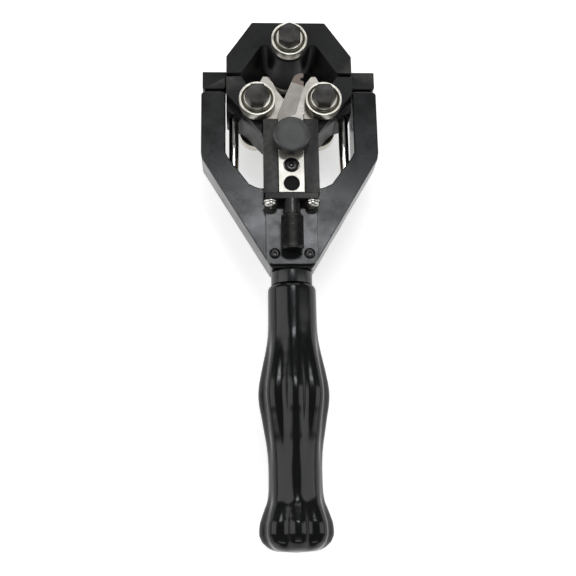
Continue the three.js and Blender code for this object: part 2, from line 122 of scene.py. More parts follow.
def black_coating(name, dark, light, rough, cloud_mm=14, peel_mm=0.55, peel_high=0.012,
                  specular=0.32):
    finish, tree, shader = new_finish(name)
    place = add(tree, "ShaderNodeTexCoord").outputs["Object"]
    cloud = add(tree, "ShaderNodeTexNoise", {"Vector": place, "Scale": 1000 / cloud_mm, "Detail": 5.0,
                                             "Roughness": 0.6})
    shade = add(tree, "ShaderNodeMapRange", {0: cloud.outputs[0], 1: 0.35, 2: 0.65})
    tint = add(tree, "ShaderNodeMix", {0: shade.outputs[0], 6: linear(dark), 7: linear(light)},
               data_type="RGBA")
    # edges are painted lighter grey: partly wear, partly a painted highlight along the edges
    edge = add(tree, "ShaderNodeMapRange", {0: add(tree, "ShaderNodeNewGeometry").outputs["Pointiness"],
                                            1: 0.53, 2: 0.62, 3: 0.0, 4: EDGE_WEAR_AND_HIGHLIGHT})
    scuff = add(tree, "ShaderNodeTexNoise", {"Vector": place, "Scale": 1000 / 3.0, "Detail": 6.0})
    patchy = add(tree, "ShaderNodeMath", {0: edge.outputs[0], 1: scuff.outputs[0]}, operation="MULTIPLY")
    worn_and_highlit = add(tree, "ShaderNodeMix", {0: patchy.outputs[0], 6: tint.outputs[2], 7: linear("#6e6c68")},
               data_type="RGBA")
    tree.links.new(worn_and_highlit.outputs[2], shader.inputs["Base Color"])
    gloss = add(tree, "ShaderNodeMapRange", {0: cloud.outputs[0], 1: 0.3, 2: 0.7,
                                             3: rough[0], 4: rough[1]})
    tree.links.new(gloss.outputs[0], shader.inputs["Roughness"])
    peel = add(tree, "ShaderNodeTexNoise", {"Vector": place, "Scale": 1000 / peel_mm, "Detail": 2.0})
    relief = add(tree, "ShaderNodeBump", {"Height": peel.outputs[0], "Distance": peel_high * MM,
                                          "Strength": 1.0})
    tree.links.new(relief.outputs[0], shader.inputs["Normal"])
    shader.inputs["Specular IOR Level"].default_value = specular
    return finish


CASTING = black_coating("black coated cast aluminium", "#0f1010", "#171818", (0.17, 0.3))
JAW_BLACK = black_coating("black coated machined jaw", "#0d0e0e", "#141515", (0.32, 0.46), cloud_mm=22,
                          peel_mm=0.35, peel_high=0.006, specular=0.2)
COVER_BLACK = black_coating("semi-gloss black cover plate", "#0f1010", "#181919", (0.16, 0.3),
                            cloud_mm=9, peel_mm=0.8, peel_high=0.01)
print("coatings:", CASTING.name, "|", JAW_BLACK.name, "|", COVER_BLACK.name)


# %% [markdown]
# ## The grip's moulding
# The grip is a glossy black moulded plastic. It is almost a mirror for soft lights, so its
# waviness matters more than its colour: ripples some 6 mm long bend the reflections, and
# faint hairlines from handling break them up.

# %% Glossy black plastic
def grip_plastic():
    finish, tree, shader = new_finish("glossy black moulded plastic")
    place = add(tree, "ShaderNodeTexCoord").outputs["Object"]
    cloud = add(tree, "ShaderNodeTexNoise", {"Vector": place, "Scale": 1000 / 18, "Detail": 4.0})
    tint = add(tree, "ShaderNodeMix", {0: cloud.outputs[0], 6: linear("#050606"), 7: linear("#0c0d0d")},
               data_type="RGBA")
    tree.links.new(tint.outputs[2], shader.inputs["Base Color"])
    stretch = add(tree, "ShaderNodeMapping", {"Vector": place, "Scale": (1.0, 0.06, 1.0)})
    hair = add(tree, "ShaderNodeTexNoise", {"Vector": stretch.outputs[0], "Scale": 1000 / 0.5, "Detail": 3.0})
    gloss = add(tree, "ShaderNodeMapRange", {0: hair.outputs[0], 1: 0.35, 2: 0.75, 3: 0.13, 4: 0.24})
    tree.links.new(gloss.outputs[0], shader.inputs["Roughness"])
    ripple = add(tree, "ShaderNodeTexNoise", {"Vector": place, "Scale": 1000 / 6, "Detail": 1.0})
    relief = add(tree, "ShaderNodeBump", {"Height": ripple.outputs[0], "Distance": 0.03 * MM})
    tree.links.new(relief.outputs[0], shader.inputs["Normal"])
    shader.inputs["Specular IOR Level"].default_value = 0.27
    return finish


GRIP_BLACK = grip_plastic()


# %% [markdown]
# ## Turned and ground steel
# Turned steel shows fine rings round its axis, and ground steel shows straight lines. A turned
# piece made below carries an attribute called `turned`, with its radius and its place along
# the axis in millimetres, so the rings follow the piece wherever it stands. The rings are
# drawn 0.25 mm apart, a little coarser than real turning marks, so that they show.

# %% Turned steel
def turned_steel(name, dark, light, rough, ring_mm=0.25, ring_high=0.002, metallic=1.0, worn_and_highlit_tips_mm=None):
    finish, tree, shader = new_finish(name)
    turned_at = add(tree, "ShaderNodeAttribute", attribute_name="turned").outputs["Vector"]
    rings_at = add(tree, "ShaderNodeMapping", {"Vector": turned_at, "Scale": (1.0, 1.0, 0.02)})
    rings = add(tree, "ShaderNodeTexNoise", {"Vector": rings_at.outputs[0], "Scale": 1 / ring_mm,
                                             "Detail": 3.0})
    place = add(tree, "ShaderNodeTexCoord").outputs["Object"]
    stain = add(tree, "ShaderNodeTexNoise", {"Vector": place, "Scale": 1000 / 5, "Detail": 5.0})
    blend = add(tree, "ShaderNodeMath", {0: rings.outputs[0], 1: stain.outputs[0]}, operation="MULTIPLY")
    shade = add(tree, "ShaderNodeMapRange", {0: blend.outputs[0], 1: 0.15, 2: 0.38})
    tint = add(tree, "ShaderNodeMix", {0: shade.outputs[0], 6: linear(dark), 7: linear(light)},
               data_type="RGBA")
    # a knurl's tips are painted lighter grey by radius: partly wear, partly a painted highlight
    if worn_and_highlit_tips_mm:
        radius = add(tree, "ShaderNodeSeparateXYZ", {0: turned_at}).outputs["X"]
        high = add(tree, "ShaderNodeMapRange", {0: radius, 1: worn_and_highlit_tips_mm[0], 2: worn_and_highlit_tips_mm[1], 3: 0.0, 4: 0.8})
        tint = add(tree, "ShaderNodeMix", {0: high.outputs[0], 6: tint.outputs[2], 7: linear("#8b8986")},
                   data_type="RGBA")
    tree.links.new(tint.outputs[2], shader.inputs["Base Color"])
    gloss = add(tree, "ShaderNodeMapRange", {0: stain.outputs[0], 1: 0.3, 2: 0.7, 3: rough[0], 4: rough[1]})
    tree.links.new(gloss.outputs[0], shader.inputs["Roughness"])
    relief = add(tree, "ShaderNodeBump", {"Height": rings.outputs[0], "Distance": ring_high * MM})
    tree.links.new(relief.outputs[0], shader.inputs["Normal"])
    shader.inputs["Metallic"].default_value = metallic
    return finish


BEARING_STEEL = turned_steel("ground bearing steel", "#c6c2b7", "#e6e2d8", (0.3, 0.4), ring_high=0.0005)
SHIELD_STEEL = turned_steel("pressed bearing shield", "#4a473d", "#6b675a", (0.3, 0.42), ring_mm=0.5)
ROD_STEEL = turned_steel("hard chromed rod", "#c9c8c4", "#e8e7e3", (0.05, 0.1), ring_high=0.0006)
BOLT_STEEL = turned_steel("blackened bolt steel", "#2b2a29", "#454340", (0.3, 0.42), metallic=0.8)
KNOB_STEEL = turned_steel("dark turned knob steel", "#3e3e3d", "#50504f", (0.36, 0.48), ring_high=0.004,
                          metallic=0.75)
SOCKET_BLACK = turned_steel("black oxide socket screw", "#242322", "#3d3b39", (0.16, 0.28), metallic=0.8)
KNURL_BLACK = turned_steel("black oxide knurled knob", "#151515", "#242423", (0.26, 0.38), metallic=0.8,
                           worn_and_highlit_tips_mm=(6.3, 6.62))
SCREW_STEEL = turned_steel("zinc-plated screw steel", "#aaa9a4", "#d9d7d0", (0.2, 0.34))
NUT_BRONZE = turned_steel("machined bronze", "#5f4c30", "#83694a", (0.3, 0.45))


# %% Ground flat steel
def ground_steel(name, dark, light, rough, lines, line_mm=0.18, line_high=0.0025):
    finish, tree, shader = new_finish(name)
    place = add(tree, "ShaderNodeTexCoord").outputs["Object"]
    along = add(tree, "ShaderNodeMapping", {"Vector": place, "Scale": lines})
    grind = add(tree, "ShaderNodeTexNoise", {"Vector": along.outputs[0], "Scale": 1000 / line_mm,
                                             "Detail": 3.0})
    stain = add(tree, "ShaderNodeTexNoise", {"Vector": place, "Scale": 1000 / 7, "Detail": 5.0})
    blend = add(tree, "ShaderNodeMath", {0: grind.outputs[0], 1: stain.outputs[0]}, operation="MULTIPLY")
    shade = add(tree, "ShaderNodeMapRange", {0: blend.outputs[0], 1: 0.15, 2: 0.38})
    tint = add(tree, "ShaderNodeMix", {0: shade.outputs[0], 6: linear(dark), 7: linear(light)},
               data_type="RGBA")
    tree.links.new(tint.outputs[2], shader.inputs["Base Color"])
    gloss = add(tree, "ShaderNodeMapRange", {0: grind.outputs[0], 1: 0.3, 2: 0.7, 3: rough[0], 4: rough[1]})
    tree.links.new(gloss.outputs[0], shader.inputs["Roughness"])
    relief = add(tree, "ShaderNodeBump", {"Height": grind.outputs[0], "Distance": line_high * MM})
    tree.links.new(relief.outputs[0], shader.inputs["Normal"])
    shader.inputs["Metallic"].default_value = 1.0
    return finish


BAR_STEEL = ground_steel("ground blade bar steel", "#b5b1a8", "#dfdbd1", (0.32, 0.46), (1.0, 0.03, 1.0))
PLATE_STEEL = ground_steel("rolled guide plate steel", "#a09b93", "#c6c1b8", (0.34, 0.48), (0.05, 1.0, 1.0))
BLADE_STEEL = ground_steel("ground cutter steel", "#a19c96", "#bdb7b1", (0.28, 0.4), (0.04, 1.0, 1.0),
                           line_mm=0.1, line_high=0.0012)
print(len(bpy.data.materials), "materials in the file")


# %% [markdown]
# ## Finishing a piece
# Each finished mesh gets its material, smooth shading with sharp edges kept where faces meet
# at more than 32 degrees, and a parent that ties it to its CAD body; the CAD nodes it stands
# for are hidden.

# %% Tie a piece to the frame
def settle(piece, finish, body, slot, *nodes, smooth_to=32):
    piece.data.materials.clear()
    piece.data.materials.append(finish)
    if smooth_to:
        piece.data.shade_smooth()
        piece.data.set_sharp_from_angle(angle=math.radians(smooth_to))
    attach(piece, body)
    if nodes:
        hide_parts(*nodes)
    return piece


def new_piece(name, mesh):
    piece = bpy.data.objects.new(name, mesh)
    bpy.context.collection.objects.link(piece)
    return piece


def plain_mesh(piece, name):
    """The piece as its modifiers leave it, with the modifiers gone."""
    seen = piece.evaluated_get(bpy.context.evaluated_depsgraph_get())
    mesh = bpy.data.meshes.new_from_object(seen)
    mesh.name = name
    piece.modifiers.clear()
    piece.data = mesh
    return piece


# %% [markdown]
# ## Castings and plates
# The flat-sided pieces already have the right outline in the CAD model. A copy of the node is
# merged, its flat faces are joined, and a bevel breaks every edge by a real amount: from
# 0.8 mm on the fork casting to 0.2 mm on the guide plate. Without it no edge catches light.
# The bevel keeps the normals of the large faces, so they stay flat right up to the edge.

# %% Soft-edged copies of CAD nodes
LEAST_ANGLE = math.radians(28)
BEVEL_STEPS = 3


def softened(node, name, edge_mm):
    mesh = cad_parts[node].data.copy()
    mesh.name = name
    bm = bmesh.new()
    bm.from_mesh(mesh)
    bmesh.ops.remove_doubles(bm, verts=bm.verts, dist=1e-6)
    bmesh.ops.dissolve_limit(bm, angle_limit=math.radians(0.6), verts=bm.verts, edges=bm.edges)
    bm.to_mesh(mesh)
    bm.free()
    mesh.shade_smooth()
    mesh.set_sharp_from_angle(angle=LEAST_ANGLE)
    piece = new_piece(name, mesh)
    bevel = piece.modifiers.new("broken edges", "BEVEL")
    bevel.width = edge_mm * MM
    bevel.segments = BEVEL_STEPS
    bevel.limit_method = "ANGLE"
    bevel.angle_limit = LEAST_ANGLE
    bevel.use_clamp_overlap = False
    bevel.miter_outer = "MITER_ARC"
    bevel.harden_normals = True
    return plain_mesh(piece, name)


CAD_CUT = (
    ("yoke_frame", "fork_casting", 0.8, CASTING, "frame", "black_body"),
    ("upper_jaw", "upper_jaw_block", 0.5, JAW_BLACK, "frame", "black_body"),
    ("hub_cover", "cover_plate", 0.3, COVER_BLACK, "frame", "black_cover"),
    ("lower_jaw", "lower_jaw_block", 0.5, JAW_BLACK, "carriage", "black_body"),
    ("blade_channel", "channel_block", 0.4, JAW_BLACK, "carriage", "black_body"),
    ("end_plate", "channel_end_plate", 0.35, JAW_BLACK, "carriage", "black_body"),
    ("guide_plate", "v_guide_plate", 0.2, PLATE_STEEL, "carriage", "satin_steel"),
    ("blade_bar", "sliding_blade_bar", 0.3, BAR_STEEL, "blade_slider", "satin_steel"),
)
for node, name, edge_mm, finish, body, slot in CAD_CUT:
    settle(softened(node, name, edge_mm), finish, body, slot, node, smooth_to=0)
print("castings and plates:", len(CAD_CUT))


# %% [markdown]
# ## Pieces that run round an axis
# Bolts, nuts, bearings, rods and knobs are rings of points round an axis. Each ring has a
# radius that may change with the angle: constant for a turned piece, a hexagon's outline for
# a bolt head, a cross for a screwdriver slot. Joining the rings makes a closed shell.

# %% Ring builder
STEPS = 96


def hexagon(across_flats):
    """Distance from the centre to a hexagon's edge, as a function of the angle."""
    def reach(angle):
        turn = (angle + math.pi / 6) % (math.pi / 3) - math.pi / 6
        return across_flats / 2 / math.cos(turn)
    return reach


def ring_radius(radius, angle):
    return radius(angle) if callable(radius) else radius


def ring_piece(name, rings, centre, axis="Z", closed=False, turn=0.0, flip=False):
    """rings: (radius, along) in millimetres from the centre; either may be a function of angle."""
    bm = bmesh.new()
    turned = bm.verts.layers.float_vector.new("turned")
    loops = []
    for radius, along in rings:
        if radius == 0:
            vert = bm.verts.new((0, 0, along * MM))
            vert[turned] = (0, along, 0)
            loops.append([vert])
            continue
        loop = []
        for step in range(STEPS):
            angle = 2 * math.pi * step / STEPS
            r = ring_radius(radius, angle)
            z = along(angle) if callable(along) else along
            vert = bm.verts.new((r * math.cos(angle) * MM, r * math.sin(angle) * MM, z * MM))
            vert[turned] = (r, z, angle)
            loop.append(vert)
        loops.append(loop)
    pairs = list(zip(loops, loops[1:])) + ([(loops[-1], loops[0])] if closed else [])
    for low, high in pairs:
        for step in range(STEPS):
            after = (step + 1) % STEPS
            face = [low[step % len(low)], low[after % len(low)], high[after % len(high)],
                    high[step % len(high)]]
            corners = [v for i, v in enumerate(face) if v not in face[:i]]
            if len(corners) > 2:
                bm.faces.new(corners)
    bmesh.ops.recalc_face_normals(bm, faces=bm.faces)
    mesh = bpy.data.meshes.new(name)
    bm.to_mesh(mesh)
    bm.free()
    stand = Matrix.Rotation(math.pi, 4, "X") if flip else Matrix.Identity(4)
    if axis == "Y":
        stand = Matrix.Rotation(-math.pi / 2, 4, "X") @ stand
    mesh.transform(Matrix.Translation(centre) @ stand @ Matrix.Rotation(turn, 4, "Z"))
    return new_piece(name, mesh)


CORNER_STEPS = 3


def rounded(points, radius, closed=False):
    """The same profile with each corner eased by an arc of about that radius."""
    result = []
    count = len(points)
    for i, here in enumerate(points):
        if not closed and i in (0, count - 1):
            result.append(here)
            continue
        before, after = Vector(points[i - 1]), Vector(points[(i + 1) % count])
        corner = Vector(here)
        into, out = before - corner, after - corner
        reach = min(radius, into.length * 0.45, out.length * 0.45)
        start, end = corner + into.normalized() * reach, corner + out.normalized() * reach
        for k in range(CORNER_STEPS + 1):
            t = k / CORNER_STEPS
            result.append(tuple((1 - t) ** 2 * start + 2 * t * (1 - t) * corner + t ** 2 * end))
    return result


def joined(name, *parts):
    """Several finished meshes as one piece, each keeping its own closed shell."""
    bm = bmesh.new()
    for part in parts:
        bm.from_mesh(part.data)
        bpy.data.objects.remove(part)
    mesh = bpy.data.meshes.new(name)
    bm.to_mesh(mesh)
    bm.free()
    return new_piece(name, mesh)


# %% [markdown]
# ## Ball bearings
# Each roller is a shielded ball bearing, 22 mm outside and 7 mm wide. Only its rings and
# shields show: a bright outer ring with eased edges, a pressed steel shield behind a narrow
# dark groove, and the inner race, which stays still with the bolt. Front and back bearings
# are the same, turned over.

# %% Bearing rings, shields and races
BEARING_HALF, BEARING_RADIUS, RING_BORE = 3.5, 11, 9.5
RACE_BORE, RACE_RADIUS = 4.05, 6.1


def bearing(prefix, side, race_body):
    node = f"{prefix}_{side}_roller"
    centre = middle(node)
    half = BEARING_HALF
    outline = [(RING_BORE, -half), (BEARING_RADIUS, -half), (BEARING_RADIUS, half), (RING_BORE, half)]
    ring = ring_piece(f"{node}_steel_ring", rounded(outline, 0.5, closed=True), centre, closed=True)
    settle(ring, BEARING_STEEL, f"{node}_ring", "bright_steel", node)
    shields = []
    for face in (-1, 1):
        z = face * (half - 0.3)
        pressed = [(6.35, z - face * 0.25), (6.9, z), (8.7, z), (8.9, z - face * 0.8), (9.55, z - face * 0.8),
                   (9.55, z - face * 1.3), (6.35, z - face * 1.3)]
        shields.append(ring_piece("shield", rounded(pressed, 0.15, closed=True), centre, closed=True))
    settle(joined(f"{node}_shields", *shields), SHIELD_STEEL, f"{node}_ring", "bright_steel")
    race_node = f"{prefix}_{side}_inner_race"
    race = [(RACE_BORE, -half), (RACE_RADIUS, -half), (RACE_RADIUS, half), (RACE_BORE, half)]
    piece = ring_piece(f"{race_node}_steel", rounded(race, 0.35, closed=True), centre, closed=True)
    settle(piece, BEARING_STEEL, race_body, "bright_steel", race_node)


STATIONS = {"upper": "frame", "lower_left": "carriage", "lower_right": "carriage"}
for station, body in STATIONS.items():
    for side in ("front", "back"):
        bearing(station, side, body)
print("bearings:", 2 * len(STATIONS))


# %% [markdown]
# ## Hexagon bolts and nuts
# A bolt head is a hexagon whose corners are cut back by a 30 degree cone, which leaves a round
# flat on top and an arched line on each side. The nut has that chamfer on both faces.

# %% Axle bolts, nuts and spacers
ACROSS_FLATS, HEAD_HIGH = 13.0, 5.3
# shares of half the width across flats: the round flat's edge, and where the cone starts
ROUND_FLAT, CONE_START = 0.955, 0.96


def chamfered(face, across_flats, height_sign):
    """Height of the hexagon's rim under its round flat, as a function of the angle."""
    reach = hexagon(across_flats)
    flat = across_flats / 2 * CONE_START
    return lambda angle: face - height_sign * (reach(angle) - flat) * math.tan(math.radians(30))


def axle(station, body, turn):
    node = f"{station}_axle_bolt"
    across = ACROSS_FLATS
    round_flat = across / 2 * ROUND_FLAT
    centre = middle(node)
    low, high = (v / MM - centre.z / MM for v in low_high(node, 2))
    head_low = high - HEAD_HIGH
    side = hexagon(across)
    top = chamfered(high, across, 1)
    head = ring_piece("head", [
        (0, head_low), (6.1, head_low), (side, head_low + 0.25), (side, top),
        (round_flat, high), (5.4, high), (4.9, high - 0.12), (0, high - 0.12)], centre, turn=turn)
    shank = ring_piece("shank", rounded([
        (0, low), (3.1, low), (3.9, low + 0.8), (3.9, head_low + 0.5), (0, head_low + 0.5)], 0.1), centre)
    settle(joined(f"{station}_hexagon_bolt", head, shank), BOLT_STEEL, body, "dark_steel", node,
           smooth_to=25)
    nut_node = f"{station}_axle_nut"
    centre = middle(nut_node)
    half = (low_high(nut_node, 2)[1] - centre.z) / MM
    nut = ring_piece(f"{station}_hexagon_nut", [
        (3.98, -half + 0.5), (4.6, -half), (round_flat, -half), (side, chamfered(-half, across, -1)),
        (side, chamfered(half, across, 1)), (round_flat, half), (4.6, half),
        (3.98, half - 0.5)], centre, closed=True, turn=turn)
    settle(nut, BOLT_STEEL, body, "dark_steel", nut_node, smooth_to=25)
    washer_node = f"{station}_washer"
    ring = rounded([(4.1, -0.5), (7.9, -0.5), (7.9, 0.5), (4.1, 0.5)], 0.2, closed=True)
    settle(ring_piece(f"{washer_node}_ring", ring, middle(washer_node), closed=True), BEARING_STEEL, body,
           "bright_steel", washer_node)
    for place in ("front", "back"):
        spacer_node = f"{station}_{place}_spacer"
        centre = middle(spacer_node)
        half = (low_high(spacer_node, 2)[1] - centre.z) / MM
        ring = rounded([(4.1, -half), (6, -half), (6, half), (4.1, half)], 0.12, closed=True)
        settle(ring_piece(f"{spacer_node}_ring", ring, centre, closed=True), SCREW_STEEL, body,
               "satin_steel", spacer_node)


for station, body in STATIONS.items():
    axle(station, body, 0.0 if station == "upper" else math.pi / 6)
print("axles:", list(STATIONS))


# %% [markdown]
# ## Guide rods, knobs and small turned parts
# These are plain turned shapes. Their corners are eased, because a ground rod or a turned
# knob never has a razor edge, and the `turned` attribute gives each its rings.

# %% Rods, clamp knob, neck, collar and nut
for side in ("left", "right"):
    node = f"guide_rod_{side}"
    centre = middle(node)
    half = (low_high(node, 1)[1] - centre.y) / MM
    rod = rounded([(0, -half), (3, -half), (3, half), (0, half)], 0.4)
    settle(ring_piece(f"chromed_rod_{side}", rod, centre, "Y"), ROD_STEEL, "frame", "bright_steel", node)

KNOB_RADIUS = (low_high("clamp_knob", 0)[1] - middle("clamp_knob").x) / MM
low, high = (v / MM for v in low_high("clamp_knob", 2))
knob_at = middle("clamp_knob")
knob_at.z = high * MM
clamp = [(0, low - high), (2.45, low - high), (2.45, -7.3), (5, -7.3), (KNOB_RADIUS - 0.8, -6.9),
         (KNOB_RADIUS, -6.2), (KNOB_RADIUS, -0.9), (KNOB_RADIUS - 0.7, -0.25), (7.5, 0), (3, -0.12),
         (0, -0.16)]
settle(ring_piece("round_clamp_knob", rounded(clamp, 0.3), knob_at), KNOB_STEEL, "clamp", "knob_steel",
       "clamp_knob")

neck_low, neck_high = (v / MM for v in low_high("neck_sleeve", 1))
neck_at = middle("neck_sleeve")
neck_at.y = neck_high * MM
neck = [(0, neck_low - neck_high), (6, neck_low - neck_high), (7, neck_low - neck_high + 1), (7, -8.3),
        (12.3, -8.3), (12.3, -0.7), (11.6, 0), (0, 0)]
settle(ring_piece("round_neck", rounded(neck, 0.25), neck_at, "Y"),
       black_coating("black coated turned neck", "#151616", "#1d1e1e", (0.2, 0.3), cloud_mm=16),
       "handle", "black_body", "neck_sleeve")

collar = rounded([(6.1, -1.6), (9.8, -1.6), (9.8, 1.6), (6.1, 1.6)], 0.4, closed=True)
settle(ring_piece("screw_collar", collar, middle("lock_collar"), "Y", closed=True), BOLT_STEEL,
       "handle", "dark_steel", "lock_collar")

nut_at = middle("lead_nut")
nut_low = (low_high("lead_nut", 1)[0] - nut_at.y) / MM
nut = [(6.1, nut_low), (7.7, nut_low), (8.5, nut_low + 0.8), (8.5, nut_low + 4.6), (11, nut_low + 4.6),
       (11, nut_low + 8.5), (8.5, nut_low + 8.5), (8.5, -nut_low), (6.1, -nut_low)]
settle(ring_piece("bronze_nut", rounded(nut, 0.25, closed=True), nut_at, "Y", closed=True), NUT_BRONZE,
       "carriage", "bronze", "lead_nut")
for side in ("left", "right"):
    node = f"end_plate_washer_{side}"
    ring = rounded([(2.2, -0.5), (4.5, -0.5), (4.5, 0.5), (2.2, 0.5)], 0.12, closed=True)
    settle(ring_piece(f"washer_{side}", ring, middle(node), "Y", closed=True), SCREW_STEEL, "carriage",
           "satin_steel", node)
print("clamp knob radius", round(KNOB_RADIUS, 2), "mm")


# %% [markdown]
# ## Pieces whose surface follows a rule
# The grip's flutes, the knob's knurl and the screws' threads are all a turned shape whose
# radius is lowered by a pattern of the angle and the distance along the axis. One kind of
# Geometry Nodes tree makes them: a grid is rolled into a tube, two Float Curves give the
# radius and the pattern's depth along the length, and a few Math nodes give the pattern.

# %% Patterned turning, as a node tree
def curve_points(node, points, smooth):
    curve = node.mapping.curves[0]
    while len(curve.points) < len(points):
        curve.points.new(0.5, 0.5)
    for point, (x, y) in zip(curve.points, points):
        point.location = (x, y)
        point.handle_type = "AUTO_CLAMPED" if smooth else "VECTOR"
    node.mapping.update()


# every pattern takes the same inputs, and some leave one or two of them alone
def flute_pattern(math_node, angle, along, starts, lead):
    wave = math_node("COSINE", math_node("MULTIPLY", angle, starts))
    hollow = math_node("MULTIPLY_ADD", wave, -0.5, 0.5)
    return math_node("POWER", hollow, 1.5)


def knurl_pattern(math_node, angle, along, starts, lead):
    turns = math_node("MULTIPLY", angle, math_node("DIVIDE", starts, 2 * math.pi))
    climb = math_node("DIVIDE", along, lead)
    cuts = []
    for word in ("ADD", "SUBTRACT"):
        phase = math_node("FRACT", math_node(word, turns, climb))
        cuts.append(math_node("ABSOLUTE", math_node("MULTIPLY_ADD", phase, 2.0, -1.0)))
    return math_node("MAXIMUM", cuts[0], cuts[1])


def thread_pattern(math_node, angle, along, starts, lead):
    turns = math_node("MULTIPLY", angle, math_node("DIVIDE", starts, 2 * math.pi))
    phase = math_node("FRACT", math_node("SUBTRACT", math_node("DIVIDE", along, lead), turns))
    tooth = math_node("ABSOLUTE", math_node("MULTIPLY_ADD", phase, 2.0, -1.0))
    flank = math_node("MULTIPLY_ADD", tooth, 2.4, -0.7)
    return math_node("MINIMUM", math_node("MAXIMUM", flank, 0.0), 1.0)


SIZES = (("Length", "NodeSocketFloat"), ("Radius", "NodeSocketFloat"), ("Depth", "NodeSocketFloat"),
         ("Starts", "NodeSocketFloat"), ("Lead", "NodeSocketFloat"), ("Around", "NodeSocketInt"),
         ("Along", "NodeSocketInt"), ("Finish", "NodeSocketMaterial"))


def patterned_tree(name, radii, depths, pattern, smooth=False):
    tree = bpy.data.node_groups.new(name, "GeometryNodeTree")
    tree.interface.new_socket("Geometry", in_out="INPUT", socket_type="NodeSocketGeometry")
    for label, kind in SIZES:
        tree.interface.new_socket(label, in_out="INPUT", socket_type=kind)
    tree.interface.new_socket("Geometry", in_out="OUTPUT", socket_type="NodeSocketGeometry")
    size = add(tree, "NodeGroupInput").outputs

    def math_node(operation, *values):
        return add(tree, "ShaderNodeMath", dict(enumerate(values)), operation=operation).outputs[0]

    grid = add(tree, "GeometryNodeMeshGrid", {"Size X": 1.0, "Size Y": 1.0, "Vertices X": size["Around"],
                                              "Vertices Y": size["Along"]})
    flat = add(tree, "ShaderNodeSeparateXYZ", {0: add(tree, "GeometryNodeInputPosition").outputs[0]})
    angle = math_node("MULTIPLY", flat.outputs["X"], 2 * math.pi)
    share = math_node("ADD", flat.outputs["Y"], 0.5)
    along = math_node("MULTIPLY", share, size["Length"])
    radius_curve = add(tree, "ShaderNodeFloatCurve", {"Value": share})
    curve_points(radius_curve, radii, smooth)
    depth_curve = add(tree, "ShaderNodeFloatCurve", {"Value": share})
    curve_points(depth_curve, depths, smooth)
    base = math_node("MULTIPLY", radius_curve.outputs[0], size["Radius"])
    cut = math_node("MULTIPLY", depth_curve.outputs[0], size["Depth"])
    lowered = math_node("MULTIPLY", cut, pattern(math_node, angle, along, size["Starts"], size["Lead"]))
    shell = math_node("SUBTRACT", base, lowered)
    inside = math_node("MULTIPLY", math_node("GREATER_THAN", share, 0.0001),
                       math_node("LESS_THAN", share, 0.9999))
    radius = math_node("MULTIPLY", shell, inside)
    place = add(tree, "ShaderNodeCombineXYZ", {
        "X": math_node("MULTIPLY", radius, math_node("COSINE", angle)),
        "Y": math_node("MULTIPLY", radius, math_node("SINE", angle)),
        "Z": along,
    })
    rolled = add(tree, "GeometryNodeSetPosition", {"Geometry": grid.outputs["Mesh"],
                                                   "Position": place.outputs[0]})
    marks = add(tree, "ShaderNodeCombineXYZ", {
        "X": math_node("MULTIPLY", radius, 1000.0), "Y": math_node("MULTIPLY", along, 1000.0), "Z": angle})
    kept = add(tree, "GeometryNodeStoreNamedAttribute",
               {"Geometry": rolled.outputs[0], "Name": "turned", "Value": marks.outputs[0]},
               data_type="FLOAT_VECTOR", domain="POINT")
    sewn = add(tree, "GeometryNodeMergeByDistance", {"Geometry": kept.outputs[0], "Distance": 1e-6})
    real = add(tree, "GeometryNodeRealizeInstances", {"Geometry": sewn.outputs[0]})
    final = add(tree, "GeometryNodeSetMaterial", {"Geometry": real.outputs[0], "Material": size["Finish"]})
    add(tree, "NodeGroupOutput", {"Geometry": final.outputs[0]})
    return tree


def patterned_piece(name, tree, place, **sizes):
    """Runs a tree with these sizes (metres) and stands the result at the place, a matrix."""
    piece = new_piece(name, bpy.data.meshes.new(name))
    modifier = piece.modifiers.new(tree.name, "NODES")
    modifier.node_group = tree
    for item in tree.interface.items_tree:
        if item.in_out == "INPUT" and item.name in sizes:
            modifier[item.identifier] = sizes[item.name]
    piece = plain_mesh(piece, name)
    bm = bmesh.new()
    bm.from_mesh(piece.data)
    bmesh.ops.recalc_face_normals(bm, faces=bm.faces)
    bm.to_mesh(piece.data)
    bm.free()
    piece.data.transform(place)
    print(name, len(piece.data.polygons), "faces")
    return piece


def along_y(x, y, z, towards=1):
    """Stands a piece made along +Z so that it runs along +Y or -Y from that point."""
    return Matrix.Translation((x, y, z)) @ Matrix.Rotation(-towards * math.pi / 2, 4, "X")


# %% [markdown]
# ## The fluted grip
# The grip is one long turned form with two swellings and a waist for the palm, and eight
# shallow flutes that deepen on the swellings and vanish at the round front end.

# %% Grip from its rule
GRIP_LOW, GRIP_HIGH = low_high("grip", 1)
GRIP_LONG = GRIP_HIGH - GRIP_LOW
GRIP_WIDE, FLUTE_DEEP = 21.0, 2.5
# millimetres from the front end, radius, flute depth
GRIP_SECTIONS = [
    (0.0, 12.6, 0), (0.5, 13.3, 0), (1.4, 14.0, 0), (2.7, 14.35, 0), (12, 14.45, 0), (24, 14.55, 0.05),
    (31, 14.95, 0.3), (38, 16.0, 0.9), (46, 17.7, 1.7), (54, 19.35, 2.2), (60, 20.35, 2.4), (65, 20.7, 2.5),
    (70, 20.35, 2.4), (78, 19.0, 2.0), (87, 17.5, 1.4), (95, 16.2, 0.9), (102, 15.6, 0.5), (111, 15.4, 0.3),
    (119, 15.5, 0.4), (124, 16.1, 0.8), (129, 17.8, 1.5), (134, 19.6, 2.1), (138.5, 20.8, 2.4),
    (142, 21.0, 2.5), (145.5, 20.2, 2.3), (149, 17.6, 1.5), (151.6, 13.6, 0.7), (152.8, 9.0, 0.2),
]


def shares(column, biggest):
    long_mm = GRIP_LONG / MM
    rows = [(min(row[0] / long_mm, 1.0), row[column] / biggest) for row in GRIP_SECTIONS]
    return rows + [(1.0, rows[-1][1] * 0.85)]


